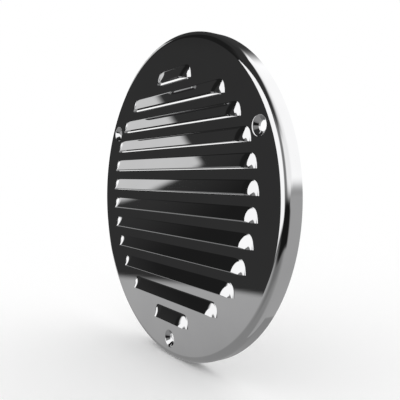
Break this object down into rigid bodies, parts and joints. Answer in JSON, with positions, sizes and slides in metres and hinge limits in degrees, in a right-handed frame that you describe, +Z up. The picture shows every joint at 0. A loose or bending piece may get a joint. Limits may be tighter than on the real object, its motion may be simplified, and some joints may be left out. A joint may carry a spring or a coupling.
{
  "type": "round vent cover",
  "caption": "Round louvred vent cover of polished steel, pressed from one sheet with a shallow rim and dimpled screw holes, for the end of a wall duct.",
  "frame": {"origin": "centre of the rim's back edge, on the plane that meets the wall", "axes": "+Y into the wall, so the face looks along -Y; +Z up, with the louvres open downwards; +X right"},
  "size_m": [0.127, 0.0089, 0.127],
  "materials": {
    "polished_steel": "mirror-polished stainless steel"
  },
  "bodies": {
    "root": {"vent_cover": "polished_steel"}
  },
  "joints": []
}
